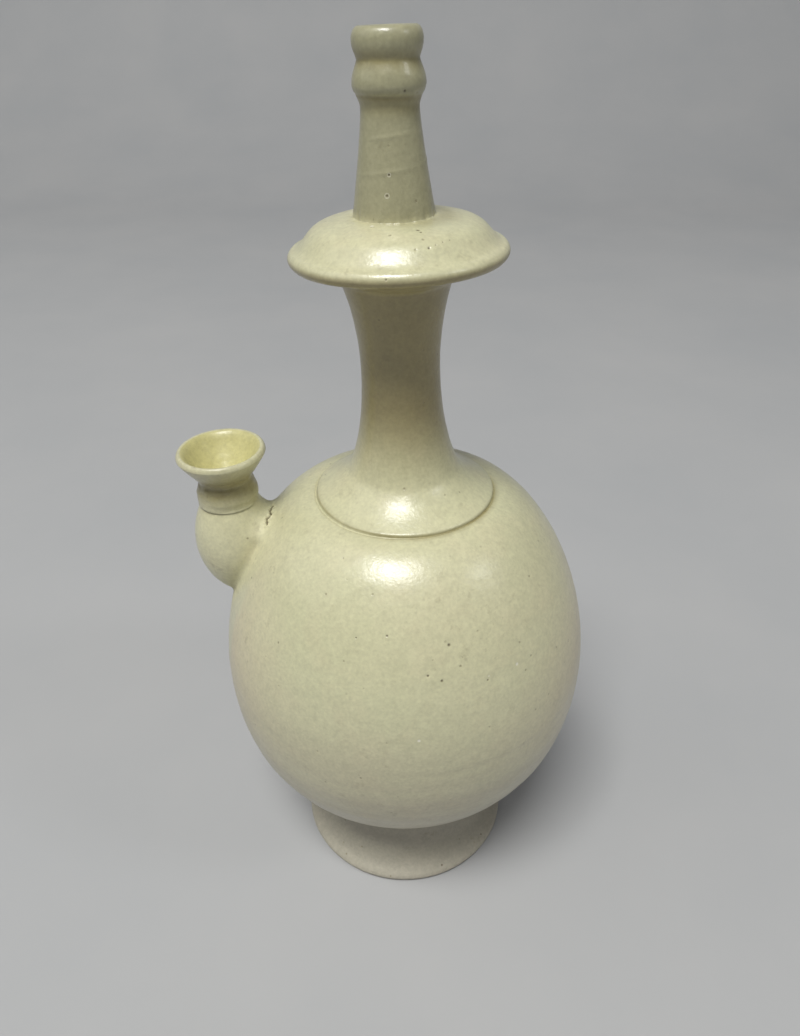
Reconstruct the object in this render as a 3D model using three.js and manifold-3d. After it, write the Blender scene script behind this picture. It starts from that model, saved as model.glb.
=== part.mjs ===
// A white-glazed kundika, a ritual ewer for pure water. It is one fired piece: a foot, an egg-shaped
// body, a neck with a disc on it, a mouth tube, and a filling spout with a cup, all thrown apart,
// luted together and hollow inside. Millimetres, +Z up, standing on Z = 0. The spout is on the -X
// side. X = Y = 0 is the middle of the space that the whole ewer takes up.

import * as THREE from 'three';
import { mergeVertices } from 'three/addons/utils/BufferGeometryUtils.js';
import Module from 'manifold-3d';

// Foot: a low trumpet, hollow underneath, that stands on a narrow flat ring
const footRadius = 42.9;
const footHeight = 34;
const footWaistRadius = 30.5;
const footRimHeight = 4.2;
const footRimRound = 1.6;
const footWall = 5.5;
const footRecessHeight = 26;
const footPartDrop = 1;

// Body
const bodyRadius = 67.1;
const bodyLowerHeight = 62.7;
const bodyUpperHeight = 69.2;
const bodyWall = 5;
const floorThickness = 7;

// Neck, with the small step where its wide lower end was luted to the shoulder
const shoulderRadius = 30.4;
const shoulderStep = 0.6;
const neckFlareRadius = 18.6;
const neckFlareHeight = 8.7;
const neckRadius = 12.4;
const neckLowerHeight = 44;
const neckUpperHeight = 27.6;
const neckTopRadius = 16.9;
const neckWall = 4;
const neckPartRise = 6;

// Disc between the neck and the mouth tube: a thick rim, a hollowed step and a low crown
const discRadius = 31.8;
const discUnderRise = 5;
const discRimThickness = 3.9;
const discRimRound = 1.1;
const discStepHeight = 5.7;
const discCrownRadius = 23.6;
const discCrownRise = 2.6;
const discTilt = 2.35;
const discTiltBack = 0.8;
const discOffset = 0.9;

// Mouth tube: a cone, a bulge and a rounded lip
const tubeFootRadius = 11.5;
const tubeTopRadius = 7.8;
const tubeHeight = 26.6;
const tubeWall = 3.6;
const bulgeRadius = 9.65;
const bulgeLowerHeight = 5;
const bulgeUpperHeight = 5.7;
const collarRadius = 8.1;
const lipRadius = 9.15;
const lipLowerHeight = 4;
const lipUpperHeight = 3.1;
const lipRound = 1.9;
const mouthFlare = 0.8;
const mouthFlareDepth = 3;

// The neck and all above it lean to the spout's side, past a gentle bend at the shoulder
const leanAngle = 1.95;
const leanStart = 150;
const leanBlend = 35;

// Filling spout: a bulb luted to the shoulder of the body, a ring above it, and a cup
const spoutHeight = 145.5;
const spoutStandoff = 6.45;
const spoutLeanOut = 1.8;
const spoutLeanFront = 0.3;
const bulbRadius = 13.9;
const bulbLowerHeight = 21;
const bulbUpperHeight = 15.9;
const bulbTopRadius = 9.8;
const spoutRingRadius = 10.25;
const spoutRingStep = 0.5;
const spoutRingHeight = 3;
const spoutTaperHeight = 5.85;
const cupFootRadius = 8.8;
const cupRadius = 14.8;
const cupHeight = 8.8;
const cupLipHeight = 1.8;
const cupLipWidth = 2.2;
const spoutWall = 4;
const spoutBore = 4.6;
const wallHoleRadius = 8;

// How finely the round forms are faceted, and how far a cut runs past the clay
const aroundBody = 32;
const aroundHollow = 28;
const aroundDisc = 28;
const aroundSpout = 20;
const overrun = 4;

// Heights that follow from the sizes above
const footPartHeight = footRecessHeight - footPartDrop;
const widestHeight = footHeight + bodyLowerHeight;
const shoulderHeight = widestHeight + bodyUpperHeight;
const neckFootHeight = shoulderHeight + shoulderStep;
const neckPartHeight = neckFootHeight + neckPartRise;
const neckWaistHeight = neckFootHeight + neckLowerHeight;
const neckTopHeight = neckWaistHeight + neckUpperHeight;
const discHeight = discUnderRise + discRimThickness + discStepHeight + discCrownRise;
const tubeFootHeight = neckTopHeight + discHeight;
const tubeTopHeight = tubeFootHeight + tubeHeight;
const bulgeHeight = tubeTopHeight + bulgeLowerHeight;
const collarHeight = bulgeHeight + bulgeUpperHeight;
const lipHeight = collarHeight + lipLowerHeight;
const mouthHeight = lipHeight + lipUpperHeight;

const wasm = await Module();
wasm.setup();

const upwards = [0, 0, 1];
const radians = THREE.MathUtils.degToRad;
const at = (radius, height) => new THREE.Vector2(radius, height);

// The point at shares of the way from one point to another, outwards and upwards
function between(from, to, [outwards, upwards]) {
  const { lerp } = THREE.MathUtils;
  return at(lerp(from.x, to.x, outwards), lerp(from.y, to.y, upwards));
}

// A profile curve. Each of its two handles is given as shares of the way from end to end.
function sweep(from, firstHandle, secondHandle, to) {
  const handles = [firstHandle, secondHandle].map((shares) => between(from, to, shares));
  return new THREE.CubicBezierCurve(from, ...handles, to);
}

// Points along a stretch of a curve, moved by the wall's thickness to the inside of the pot
function inside(curve, wall, steps, first = 0, last = 1) {
  const points = [];
  for (let i = 0; i <= steps; i += 1) {
    const share = THREE.MathUtils.lerp(first, last, i / steps);
    const along = curve.getTangent(share);
    points.push(curve.getPoint(share).add(at(-along.y * wall, along.x * wall)));
  }
  return points;
}

// The radius of a curve at a height
function radiusAt(curve, height) {
  const points = curve.getPoints(60);
  const upper = points.findIndex((point) => point.y >= height);
  const [below, above] = [points[upper - 1], points[upper]];
  return THREE.MathUtils.mapLinear(height, below.y, above.y, below.x, above.x);
}

function toSolid(geometry) {
  geometry.deleteAttribute('normal');
  geometry.deleteAttribute('uv');
  const merged = mergeVertices(geometry, 1e-4);
  const corners = merged.index.array;
  const faces = [];
  for (let i = 0; i < corners.length; i += 3) {
    const [a, b, c] = [corners[i], corners[i + 1], corners[i + 2]];
    if (a !== b && b !== c && c !== a) faces.push(a, b, c);
  }
  const vertProperties = merged.attributes.position.array;
  const triVerts = new Uint32Array(faces);
  return new wasm.Manifold(new wasm.Mesh({ numProp: 3, vertProperties, triVerts }));
}

function toGeometry(solid) {
  const mesh = solid.getMesh();
  const geometry = new THREE.BufferGeometry();
  geometry.setAttribute('position', new THREE.Float32BufferAttribute(mesh.vertProperties, 3));
  geometry.setIndex(Array.from(mesh.triVerts));
  geometry.computeVertexNormals();
  return geometry;
}

// A profile that starts and ends on the axis, turned about +Z
function turned(profile, segments) {
  return new THREE.LatheGeometry(profile, segments).rotateX(Math.PI / 2);
}

// How far the bent axis has moved to the spout's side at a height, and how it is tilted there
function leanAt(height) {
  const angle = radians(leanAngle);
  const share = THREE.MathUtils.clamp((height - leanStart) / leanBlend, 0, 1);
  const bend = leanBlend * (share ** 3 - share ** 4 / 2);
  const above = Math.max(0, height - leanStart - leanBlend);
  return { offset: -angle * (bend + above), tilt: angle * share * share * (3 - 2 * share) };
}

// The lean: each level is moved along the bent axis and tilted square to it
function leaned(geometry) {
  const points = geometry.attributes.position;
  for (let i = 0; i < points.count; i += 1) {
    const { offset, tilt } = leanAt(points.getZ(i));
    const x = points.getX(i);
    points.setX(i, x * Math.cos(tilt) + offset);
    points.setZ(i, points.getZ(i) + x * Math.sin(tilt));
  }
  return geometry;
}

// Curves that the outside and the hollow share
const footRimTop = at(footRadius - footRimRound, footRimHeight);
const footWaist = at(footWaistRadius, footHeight);
const widest = at(bodyRadius, widestHeight);
const neckWaist = at(neckRadius, neckWaistHeight);
const tubeTop = at(tubeTopRadius, tubeTopHeight);
const footFlare = sweep(footRimTop, [0.65, 0.12], [1, 0.56], footWaist);
const bodyLower = sweep(footWaist, [0.55, 0.16], [1, 0.43], widest);
const bodyUpper = sweep(widest, [0, 0.47], [0.52, 0.97], at(shoulderRadius, shoulderHeight));
const neckFlareTop = at(neckFlareRadius, neckFootHeight + neckFlareHeight);
const neckFlare = sweep(at(shoulderRadius, neckFootHeight), [0.35, 0.24], [0.68, 0.48], neckFlareTop);
const neckLower = sweep(neckFlareTop, [0.02, 0.004], [1, 0.31], neckWaist);
const neckUpper = sweep(neckWaist, [0, 0.45], [0.67, 0.89], at(neckTopRadius, neckTopHeight));
const tubeCone = sweep(at(tubeFootRadius, tubeFootHeight), [0.16, 0.16], [1, 0.81], tubeTop);

// The foot, the body and the neck, up into the disc
function bodySolid() {
  const standOuter = at(footRadius - footRimRound, 0);
  const standInner = at(footRadius - footWall, 0);
  const recess = inside(footFlare, footWall, 2, 0.35, 0.8).reverse();
  const rimCorner = at(footRadius + footRimRound, footRimHeight / 2);
  const neckEnd = neckTopHeight + discUnderRise;
  const profile = [
    at(0, footRecessHeight),
    at(footWaistRadius - 2 * footWall, footRecessHeight),
    ...recess,
    standInner,
    ...new THREE.QuadraticBezierCurve(standOuter, rimCorner, footRimTop).getPoints(3),
    ...footFlare.getPoints(4).slice(1),
    ...bodyLower.getPoints(7).slice(1),
    ...bodyUpper.getPoints(9).slice(1),
    ...neckFlare.getPoints(3),
    ...neckLower.getPoints(4).slice(1),
    ...neckUpper.getPoints(3).slice(1),
    at(neckTopRadius, neckEnd),
    at(0, neckEnd),
  ];
  return toSolid(leaned(turned(profile, aroundBody)));
}

function discSolid() {
  const rimLow = at(discRadius - discRimRound, discUnderRise);
  const rimEdge = at(discRadius - discRimRound, discUnderRise + discRimThickness);
  const rimCorner = at(discRadius + discRimRound, discUnderRise + discRimThickness / 2);
  const crownEdge = at(discCrownRadius, rimEdge.y + discStepHeight);
  const crownTop = at(tubeFootRadius - tubeWall, crownEdge.y + discCrownRise);
  const profile = [
    at(0, 0),
    ...sweep(at(neckTopRadius, 0), [0.25, 0.25], [0.7, 0.85], rimLow).getPoints(2).slice(0, -1),
    ...new THREE.QuadraticBezierCurve(rimLow, rimCorner, rimEdge).getPoints(3),
    ...sweep(rimEdge, [0.4, 0.05], [0.6, 0.75], crownEdge).getPoints(4).slice(1),
    ...sweep(crownEdge, [0.11, 0.46], [0.54, 0.92], crownTop).getPoints(3).slice(1),
    at(0, crownTop.y),
  ];
  const geometry = turned(profile, aroundDisc);
  geometry.rotateX(-radians(discTiltBack)).rotateY(-radians(discTilt));
  return toSolid(geometry.translate(leanAt(neckTopHeight).offset + discOffset, 0, neckTopHeight));
}

function tubeSolid() {
  const bulge = at(bulgeRadius, bulgeHeight);
  const collar = at(collarRadius, collarHeight);
  const lip = at(lipRadius, lipHeight);
  const root = tubeFootHeight - discCrownRise - discStepHeight;
  const profile = [
    at(0, root),
    at(tubeFootRadius, root),
    ...tubeCone.getPoints(3),
    ...sweep(tubeTop, [0.05, 0.4], [1, 0.72], bulge).getPoints(3).slice(1),
    ...sweep(bulge, [0, 0.5], [0.9, 0.75], collar).getPoints(3).slice(1),
    ...sweep(collar, [0.1, 0.2], [1, 0.5], lip).getPoints(3).slice(1),
    ...sweep(lip, [0, 0.6], [0.5, 1], at(lipRadius - lipRound, mouthHeight)).getPoints(3).slice(1),
    at(0, mouthHeight),
  ];
  return toSolid(leaned(turned(profile, aroundDisc)));
}

// The hollow of the body, the neck and the tube, open at the mouth
function hollowSolid() {
  const bore = tubeTopRadius - tubeWall;
  const floor = footRecessHeight + floorThickness;
  const profile = [
    at(0, floor),
    at(footWaistRadius / 2, floor),
    ...inside(bodyLower, bodyWall, 4, 0.15, 1),
    ...inside(bodyUpper, bodyWall, 5, 0.15, 0.9),
    ...inside(neckLower, neckWall, 4, 0.28, 1),
    ...inside(neckUpper, neckWall, 2, 0.4, 1),
    ...inside(tubeCone, tubeWall, 2),
    at(bore, mouthHeight - mouthFlareDepth),
    at(bore + mouthFlare, mouthHeight),
    at(bore + mouthFlare, mouthHeight + overrun),
    at(0, mouthHeight + overrun),
  ];
  return toSolid(leaned(turned(profile, aroundHollow)));
}

// The spout's heights are measured along its own axis, from the widest level of the bulb
const spoutRingTop = bulbUpperHeight + spoutRingStep + spoutRingHeight;
const cupFoot = at(cupFootRadius, spoutRingTop + spoutTaperHeight);
const cupTopHeight = cupFoot.y + cupHeight + cupLipHeight;
const bulbWidest = at(bulbRadius, 0);
const bulbLower = sweep(at(0, -bulbLowerHeight), [0.61, 0], [1, 0.57], bulbWidest);
const bulbUpper = sweep(bulbWidest, [0, 0.46], [0.54, 0.74], at(bulbTopRadius, bulbUpperHeight));

// The hole's lowest line is on the floor of the bulb
const wallHoleHeight = spoutHeight - bulbLowerHeight + spoutWall + wallHoleRadius;

// From the axis of the body to the axis of the spout, at the widest level of the bulb
const spoutReach = radiusAt(bodyUpper, spoutHeight) + spoutStandoff;

function placedSpout(profile) {
  const geometry = turned(profile, aroundSpout);
  geometry.rotateX(radians(spoutLeanFront)).rotateY(-radians(spoutLeanOut));
  return toSolid(geometry.translate(-spoutReach, 0, spoutHeight));
}

function spoutSolid() {
  const ringTop = at(spoutRingRadius, spoutRingTop);
  const cupRim = at(cupRadius, cupFoot.y + cupHeight);
  const lipTop = at(cupRadius - cupLipWidth / 2, cupTopHeight);
  return placedSpout([
    ...bulbLower.getPoints(6),
    ...bulbUpper.getPoints(4).slice(1),
    at(spoutRingRadius, bulbUpperHeight + spoutRingStep),
    ...sweep(ringTop, [0, 0.35], [0.88, 0.67], cupFoot).getPoints(3),
    ...sweep(cupFoot, [0.14, 0.17], [0.8, 0.6], cupRim).getPoints(4).slice(1),
    ...sweep(cupRim, [0, 0.5], [0.5, 1], lipTop).getPoints(2).slice(1),
    at(0, cupTopHeight),
  ]);
}

// The bowl of the cup, the bore under it and the hollow of the bulb
function spoutHollowSolid() {
  const bowlEdge = at(cupRadius - cupLipWidth, cupTopHeight);
  const boreTop = at(spoutBore, cupFoot.y);
  return placedSpout([
    at(0, spoutWall - bulbLowerHeight),
    ...inside(bulbLower, spoutWall, 4, 0.3, 1),
    ...inside(bulbUpper, spoutWall, 2, 0.3, 0.8),
    at(spoutBore, bulbUpperHeight),
    ...sweep(boreTop, [0.38, 0.33], [0.75, 0.67], bowlEdge).getPoints(4),
    at(bowlEdge.x, cupTopHeight + overrun),
    at(0, cupTopHeight + overrun),
  ]);
}

// The hole through the wall of the body, from the hollow of the bulb into the body
function wallHoleSolid() {
  const length = spoutReach - (bodyRadius - bodyWall) / 2;
  const geometry = new THREE.CylinderGeometry(wallHoleRadius, wallHoleRadius, length, aroundSpout);
  geometry.rotateZ(Math.PI / 2).translate(length / 2 - spoutReach, 0, wallHoleHeight);
  return toSolid(geometry);
}

// The fired ewer is one piece of clay. It is parted into simple rings where a caster would part it:
// just under the ceiling of the hollow foot, at the hip, the shoulder and the neck, around the
// disc, and around and across the spout.
function ewerPieces() {
  const hollow = hollowSolid().add(spoutHollowSolid()).add(wallHoleSolid());
  const bodyForm = bodySolid();
  const discForm = discSolid();
  const tube = tubeSolid().subtract(bodyForm.add(discForm)).subtract(hollow);
  const disc = discForm.subtract(bodyForm).subtract(hollow);
  const spout = spoutSolid().subtract(bodyForm).subtract(hollow);
  const [cup, bulb] = spout.splitByPlane(upwards, spoutHeight + bulbUpperHeight + spoutRingStep);
  const body = bodyForm.subtract(hollow);
  const [aboveFoot, foot] = body.splitByPlane(upwards, footPartHeight);
  const [aboveHip, lowerBody] = aboveFoot.splitByPlane(upwards, widestHeight);
  const [aboveHole, upperBody] = aboveHip.splitByPlane(upwards, wallHoleHeight);
  const [neck, shoulder] = aboveHole.splitByPlane(upwards, neckPartHeight);
  return {
    foot,
    lower_body: lowerBody,
    upper_body: upperBody,
    shoulder,
    neck,
    disc,
    mouth_tube: tube,
    spout_bulb: bulb,
    spout_cup: cup,
  };
}

const glaze = new THREE.MeshStandardMaterial({ color: 0xcfcbae, roughness: 0.3, metalness: 0 });

const part = new THREE.Group();
for (const [name, solid] of Object.entries(ewerPieces())) {
  const piece = new THREE.Mesh(toGeometry(solid), glaze);
  piece.name = name;
  part.add(piece);
}

// The middle of the space that the ewer takes up goes over the origin
const middle = new THREE.Box3().setFromObject(part).getCenter(new THREE.Vector3());
for (const piece of part.children) piece.geometry.translate(-middle.x, -middle.y, 0);

export default part;
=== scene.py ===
import math

import bmesh
import bpy
import numpy as np
from mathutils import Matrix, Vector
from mathutils.bvhtree import BVHTree


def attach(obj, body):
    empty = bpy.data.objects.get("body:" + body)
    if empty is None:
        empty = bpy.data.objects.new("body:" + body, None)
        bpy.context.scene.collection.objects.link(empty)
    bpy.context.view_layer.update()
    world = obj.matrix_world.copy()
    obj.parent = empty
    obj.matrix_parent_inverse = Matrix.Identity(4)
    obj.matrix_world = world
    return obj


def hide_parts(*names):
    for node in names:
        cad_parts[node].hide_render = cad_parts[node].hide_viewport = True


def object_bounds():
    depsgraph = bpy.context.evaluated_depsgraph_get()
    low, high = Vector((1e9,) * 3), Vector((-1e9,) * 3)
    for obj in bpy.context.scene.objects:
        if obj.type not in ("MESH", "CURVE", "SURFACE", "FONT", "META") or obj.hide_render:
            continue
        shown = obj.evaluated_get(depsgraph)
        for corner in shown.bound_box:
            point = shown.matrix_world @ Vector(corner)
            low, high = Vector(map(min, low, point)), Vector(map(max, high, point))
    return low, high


MM = 0.001

# Foot
FOOT_RADIUS = 42.9
FOOT_HEIGHT = 34.0
FOOT_WAIST_RADIUS = 30.5
FOOT_RIM_HEIGHT = 4.2
FOOT_RIM_ROUND = 1.6
FOOT_WALL = 5.5
FOOT_RECESS_HEIGHT = 26.0

# Body
BODY_RADIUS = 67.1
BODY_LOWER_HEIGHT = 62.7
BODY_UPPER_HEIGHT = 69.2
BODY_WALL = 5.0
FLOOR_THICKNESS = 7.0

# Neck and the groove where its wide lower end was luted to the shoulder
SHOULDER_RADIUS = 30.4
SHOULDER_STEP = 0.6
NECK_FLARE_RADIUS = 18.6
NECK_FLARE_HEIGHT = 8.7
GROOVE_WIDTH = 0.8
GROOVE_DEPTH = 0.4
GROOVE_FADE_START = -4.0
GROOVE_FADE_END = 14.0
NECK_RADIUS = 12.4
NECK_LOWER_HEIGHT = 44.0
NECK_UPPER_HEIGHT = 27.6
NECK_TOP_RADIUS = 16.9
NECK_WALL = 4.0

# Disc
DISC_RADIUS = 31.8
DISC_UNDER_RISE = 5.0
DISC_RIM_THICKNESS = 3.9
DISC_RIM_ROUND = 1.1
DISC_STEP_HEIGHT = 5.7
DISC_CROWN_RADIUS = 23.6
DISC_CROWN_RISE = 2.6
DISC_TILT = 2.35
DISC_TILT_BACK = 0.8
DISC_OFFSET = 0.9

# Mouth tube
TUBE_FOOT_RADIUS = 11.5
TUBE_TOP_RADIUS = 7.8
TUBE_HEIGHT = 26.6
TUBE_WALL = 3.6
BULGE_RADIUS = 9.65
BULGE_LOWER_HEIGHT = 5.0
BULGE_UPPER_HEIGHT = 5.7
COLLAR_RADIUS = 8.1
LIP_RADIUS = 9.15
LIP_LOWER_HEIGHT = 4.0
LIP_UPPER_HEIGHT = 3.1
LIP_ROUND = 1.9
MOUTH_FLARE = 0.8
MOUTH_DEPTH = 3.7

# Lean of the neck and all above it, to the spout's side
LEAN_ANGLE = 1.95
LEAN_START = 150.0
LEAN_BLEND = 35.0

# Filling spout
SPOUT_HEIGHT = 145.5
SPOUT_STANDOFF = 6.45
SPOUT_LEAN_OUT = 1.8
SPOUT_LEAN_FRONT = 0.3
BULB_RADIUS = 13.9
BULB_LOWER_HEIGHT = 21.0
BULB_UPPER_HEIGHT = 15.9
BULB_TOP_RADIUS = 9.8
RING_RADIUS = 10.25
RING_STEP = 0.5
RING_HEIGHT = 3.0
LEDGE_AZIMUTH = -145.0
LEDGE_DEPTH = 0.12
LEDGE_FADE = 0.45
STEM_HEIGHT = 5.85
CUP_FOOT_RADIUS = 8.8
CUP_RADIUS = 14.8
CUP_HEIGHT = 8.8
CUP_LIP_HEIGHT = 1.8
CUP_LIP_WIDTH = 2.2
BOWL_LIP_WIDTH = 1.4
BOWL_LIP_DEPTH = 2.2
SPOUT_WALL = 4.0
SPOUT_BORE = 4.6
BORE_STEP = 0.1
WALL_HOLE_RADIUS = 8.0
JOIN_SOFTNESS = 2.4
JOIN_TOP_SOFTNESS = 7.5
JOIN_TOP_START = 148.0
JOIN_TOP_END = 154.0

# The part of the vessel where the spout and its join are looked for
SPOUT_SIDE = -40.0
SPOUT_SIDE_LOW = 105.0
JOIN_SIDE = -30.0
JOIN_SIDE_HIGH = 175.0
JOIN_DEEPEST = 1.6

# Reaches of the glaze's changes of tint and shine, and of the shade painted into its colour
JOIN_DULL_WIDTH = 5.0
JOIN_CREASE_WIDTH = 0.9
BLUSH_START = 34.0
BLUSH_END = 66.0
BLUSH_HEIGHT = 108.0
BLUSH_WIDTH = 36.0
# The drier glaze low on the body also carries painted shade, darker towards the bottom
DRY_AND_SHADE_FULL = 36.0
DRY_AND_SHADE_END = 138.0
FOOT_DULL_FULL = 25.0
FOOT_DULL_END = 45.0
FOOT_DULL = 0.7
BOWL_DULL = 0.2
NECK_TINT_START = 3.0
NECK_TINT_FULL = 36.0
# Pooled glaze with painted shade under the cup, under the ledge, in the groove and in the crease of the
# join
STEM_POOL_AND_SHADE = 1.1
STEM_POOL_AND_SHADE_WIDTH = 6.5
LEDGE_POOL_AND_SHADE = 0.35
GROOVE_POOL_AND_SHADE = 0.9
CREASE_POOL_AND_SHADE = 0.6

# Heights that follow from the sizes above
WIDEST = FOOT_HEIGHT + BODY_LOWER_HEIGHT
SHOULDER = WIDEST + BODY_UPPER_HEIGHT
NECK_FOOT = SHOULDER + SHOULDER_STEP
NECK_WAIST = NECK_FOOT + NECK_LOWER_HEIGHT
NECK_TOP = NECK_WAIST + NECK_UPPER_HEIGHT
DISC_HEIGHT = DISC_UNDER_RISE + DISC_RIM_THICKNESS + DISC_STEP_HEIGHT + DISC_CROWN_RISE
TUBE_FOOT = NECK_TOP + DISC_HEIGHT
TUBE_TOP = TUBE_FOOT + TUBE_HEIGHT
BULGE = TUBE_TOP + BULGE_LOWER_HEIGHT
COLLAR = BULGE + BULGE_UPPER_HEIGHT
LIP = COLLAR + LIP_LOWER_HEIGHT
MOUTH = LIP + LIP_UPPER_HEIGHT
RING_TOP = BULB_UPPER_HEIGHT + RING_STEP + RING_HEIGHT
CUP_FOOT = RING_TOP + STEM_HEIGHT
CUP_RIM = CUP_FOOT + CUP_HEIGHT
CUP_TOP = CUP_RIM + CUP_LIP_HEIGHT

# How fine the mesh is: points around each form, gaps along its outline and longest edges
AROUND_VESSEL = 140
AROUND_SPOUT = 80
AROUND_HOLLOW = 64
AROUND_BORE = 40
WIDE_GAP = 1.25
FINE_GAP = 0.6
RIM_GAP = 0.35
HOLLOW_GAP = 2.4
JOIN_EDGE = 1.0
THREAD_EDGE = 0.45
MARK_EDGE = 0.9
SPOT_EDGE = 0.25
CRACK_EDGE = 0.3


def sweep(start, first, second, end):
    """A curve whose two handles are given as shares of the way from end to end."""
    start, end = np.array(start, float), np.array(end, float)
    low, high = start + np.array([first, second]) * (end - start)
    t = np.linspace(0, 1, 121)[:, None]
    return (1 - t) ** 3 * start + 3 * (1 - t) ** 2 * t * low + 3 * (1 - t) * t**2 * high + t**3 * end


def bow(start, corner, end):
    """A short curve that starts and ends towards a corner."""
    start, corner, end = (np.array(p, float) for p in (start, corner, end))
    t = np.linspace(0, 1, 41)[:, None]
    return (1 - t) ** 2 * start + 2 * (1 - t) * t * corner + t**2 * end


def straight(start, end):
    return np.array([start, end], float)


def spaced(line, gap):
    """The same line with points about one gap apart."""
    along = np.concatenate([[0], np.cumsum(np.linalg.norm(np.diff(line, axis=0), axis=1))])
    steps = max(1, round(along[-1] / gap))
    marks = np.linspace(0, along[-1], steps + 1)
    return np.column_stack([np.interp(marks, along, line[:, i]) for i in range(2)])


def joined(*stretches):
    """Stretches of (line, gap), one after the other, with each shared point kept once."""
    rows = [spaced(*stretches[0])]
    rows += [spaced(line, gap)[1:] for line, gap in stretches[1:]]
    return np.vstack(rows)


def inside(line, wall, first=0.0, last=1.0):
    """The stretch of a line between two shares of it, moved to the inside of the pot by the wall."""
    along = np.gradient(line, axis=0)
    along /= np.linalg.norm(along, axis=1)[:, None]
    moved = line + np.column_stack([-along[:, 1], along[:, 0]]) * wall
    return moved[round(first * (len(line) - 1)) : round(last * (len(line) - 1)) + 1]


def smooth_step(values, low, high):
    share = np.clip((values - low) / (high - low), 0, 1)
    return share * share * (3 - 2 * share)


def bell(values, middle, width):
    return np.exp(-(((values - middle) / width) ** 2))


# Curves that the outside, the hollow and the join share
FOOT_RIM_TOP = (FOOT_RADIUS - FOOT_RIM_ROUND, FOOT_RIM_HEIGHT)
FOOT_WAIST = (FOOT_WAIST_RADIUS, FOOT_HEIGHT)
FOOT_FLARE = sweep(FOOT_RIM_TOP, (0.65, 0.12), (1, 0.56), FOOT_WAIST)
BODY_LOWER = sweep(FOOT_WAIST, (0.55, 0.16), (1, 0.43), (BODY_RADIUS, WIDEST))
BODY_UPPER = sweep((BODY_RADIUS, WIDEST), (0, 0.47), (0.52, 0.97), (SHOULDER_RADIUS, SHOULDER))
FLARE_TOP = (NECK_FLARE_RADIUS, NECK_FOOT + NECK_FLARE_HEIGHT)
NECK_FLARE = sweep((SHOULDER_RADIUS, NECK_FOOT), (0.35, 0.24), (0.68, 0.48), FLARE_TOP)
NECK_LOWER = sweep(FLARE_TOP, (0.02, 0.004), (1, 0.31), (NECK_RADIUS, NECK_WAIST))
NECK_UPPER = sweep((NECK_RADIUS, NECK_WAIST), (0, 0.45), (0.67, 0.89), (NECK_TOP_RADIUS, NECK_TOP))
TUBE_CONE = sweep((TUBE_FOOT_RADIUS, TUBE_FOOT), (0.16, 0.16), (1, 0.81), (TUBE_TOP_RADIUS, TUBE_TOP))
BULB_LOWER = sweep((0, -BULB_LOWER_HEIGHT), (0.61, 0), (1, 0.57), (BULB_RADIUS, 0))
BULB_UPPER = sweep((BULB_RADIUS, 0), (0, 0.46), (0.54, 0.74), (BULB_TOP_RADIUS, BULB_UPPER_HEIGHT))
CUP_SIDE = sweep((CUP_FOOT_RADIUS, CUP_FOOT), (0.14, 0.17), (0.68, 0.6), (CUP_RADIUS, CUP_RIM))
STEM = sweep((RING_RADIUS, RING_TOP), (0, 0.35), (0.88, 0.67), (CUP_FOOT_RADIUS, CUP_FOOT))

SPOUT_REACH = np.interp(SPOUT_HEIGHT, BODY_UPPER[:, 1], BODY_UPPER[:, 0]) + SPOUT_STANDOFF


def turned(name, rows, around, place):
    """A closed form turned about +Z. Its first and last rows lie on the axis."""
    angles = np.arange(around) * 2 * math.pi / around
    body = rows[1:-1]
    radius, height = body[:, :1], body[:, 1:]
    ring = np.stack([radius * np.cos(angles), radius * np.sin(angles), height + 0 * angles], axis=2)
    poles = [np.array([[0, 0, rows[0, 1]]]), np.array([[0, 0, rows[-1, 1]]])]
    points = place(np.vstack([poles[0], ring.reshape(-1, 3), poles[1]]), rows)
    faces = []
    last = len(points) - 1
    for i in range(around):
        after = (i + 1) % around
        faces.append((0, 1 + after, 1 + i))
        faces.append((last, last - around + i, last - around + after))
    for row in range(len(body) - 1):
        low = 1 + row * around
        for i in range(around):
            after = (i + 1) % around
            faces.append((low + i, low + after, low + around + after, low + around + i))
    mesh = bpy.data.meshes.new(name)
    mesh.from_pydata((points * MM).tolist(), [], faces)
    piece = bpy.data.objects.new(name, mesh)
    bpy.context.scene.collection.objects.link(piece)
    return piece


def lean_at(height):
    """How far the bent axis has moved to the spout's side at a height, and how it is tilted there."""
    angle = math.radians(LEAN_ANGLE)
    share = np.clip((height - LEAN_START) / LEAN_BLEND, 0, 1)
    bend = LEAN_BLEND * (share**3 - share**4 / 2)
    above = np.maximum(0, height - LEAN_START - LEAN_BLEND)
    return -angle * (bend + above), angle * share * share * (3 - 2 * share)


def leaned(points):
    offset, tilt = lean_at(points[:, 2])
    x, y, z = points.T
    return np.column_stack([x * np.cos(tilt) + offset, y, z + x * np.sin(tilt)])


def turn(points, axis, degrees):
    matrix = np.array(Matrix.Rotation(math.radians(degrees), 3, axis))
    return points @ matrix.T


def on_disc(points):
    """Points of the disc, at heights above the top of the neck, tilted with it."""
    tilted = turn(turn(points - [0, 0, NECK_TOP], "X", -DISC_TILT_BACK), "Y", -DISC_TILT)
    return tilted + [lean_at(NECK_TOP)[0] + DISC_OFFSET, 0, NECK_TOP]


def disc_frame(points):
    """Points of the vessel in the frame of the disc, the reverse of on_disc."""
    moved = points - [lean_at(NECK_TOP)[0] + DISC_OFFSET, 0, NECK_TOP]
    return turn(turn(moved, "Y", DISC_TILT), "X", DISC_TILT_BACK)


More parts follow.
